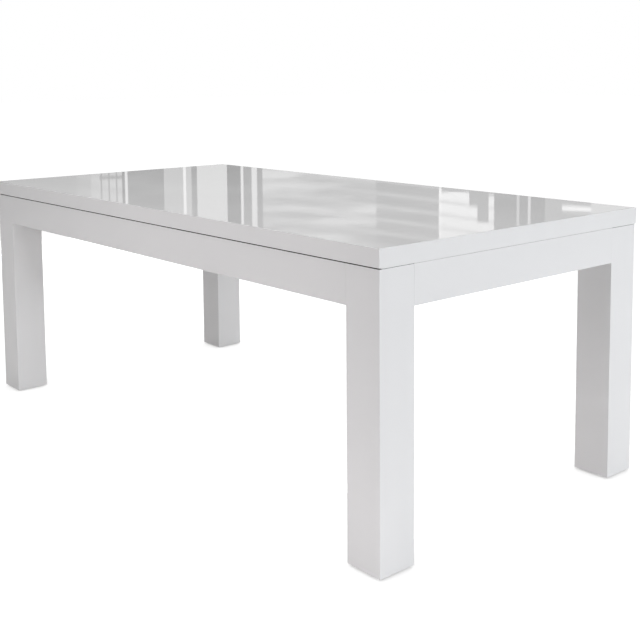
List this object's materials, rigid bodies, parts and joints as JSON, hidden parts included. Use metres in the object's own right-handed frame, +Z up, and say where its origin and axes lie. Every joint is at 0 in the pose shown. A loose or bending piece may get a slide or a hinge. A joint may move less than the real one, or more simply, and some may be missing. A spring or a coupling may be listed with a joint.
{
  "type": "dining table",
  "caption": "Rectangular dining table with a thick slab top over a shadow gap, flush aprons and square legs, in white high-gloss lacquer.",
  "frame": {"origin": "on the floor, under the middle of the table", "axes": "+X along the length of the top, +Y across it from the front long side to the back, +Z up"},
  "size_m": [2, 1, 0.76],
  "materials": {
    "white_gloss_lacquer": "white high-gloss lacquer over fibreboard, and over the hardwood cleats that face the gap",
    "bare_wood": "planed pale hardwood, unfinished",
    "zinc_steel": "zinc-plated steel",
    "nylon": "white nylon"
  },
  "bodies": {
    "root": {"angle_screws": "zinc_steel", "apron_back": "white_gloss_lacquer", "apron_dowels": "bare_wood", "apron_front": "white_gloss_lacquer", "apron_left": "white_gloss_lacquer", "apron_right": "white_gloss_lacquer", "bolt_nuts": "zinc_steel", "bolt_washers": "zinc_steel", "bracket_screws": "zinc_steel", "cleat_back": "white_gloss_lacquer", "cleat_front": "white_gloss_lacquer", "cleat_left": "white_gloss_lacquer", "cleat_right": "white_gloss_lacquer", "cleat_screws": "zinc_steel", "corner_bracket_back_left": "zinc_steel", "corner_bracket_back_right": "zinc_steel", "corner_bracket_front_left": "zinc_steel", "corner_bracket_front_right": "zinc_steel", "cross_rail_left": "bare_wood", "cross_rail_right": "bare_wood", "glide_back_left": "nylon", "glide_back_right": "nylon", "glide_front_left": "nylon", "glide_front_right": "nylon", "glide_screws": "zinc_steel", "hanger_bolts": "zinc_steel", "leg_back_left": "white_gloss_lacquer", "leg_back_right": "white_gloss_lacquer", "leg_core_back_left": "bare_wood", "leg_core_back_right": "bare_wood", "leg_core_front_left": "bare_wood", "leg_core_front_right": "bare_wood", "leg_front_left": "white_gloss_lacquer", "leg_front_right": "white_gloss_lacquer", "leg_plug_back_left": "bare_wood", "leg_plug_back_right": "bare_wood", "leg_plug_front_left": "bare_wood", "leg_plug_front_right": "bare_wood", "rail_angle_back_left": "zinc_steel", "rail_angle_back_right": "zinc_steel", "rail_angle_front_left": "zinc_steel", "rail_angle_front_right": "zinc_steel", "top_cross_strip_left": "bare_wood", "top_cross_strip_right": "bare_wood", "top_edge_strip_back": "white_gloss_lacquer", "top_edge_strip_front": "white_gloss_lacquer", "top_edge_strip_left": "white_gloss_lacquer", "top_edge_strip_right": "white_gloss_lacquer", "top_panel": "white_gloss_lacquer", "top_screws": "zinc_steel"}
  },
  "joints": []
}
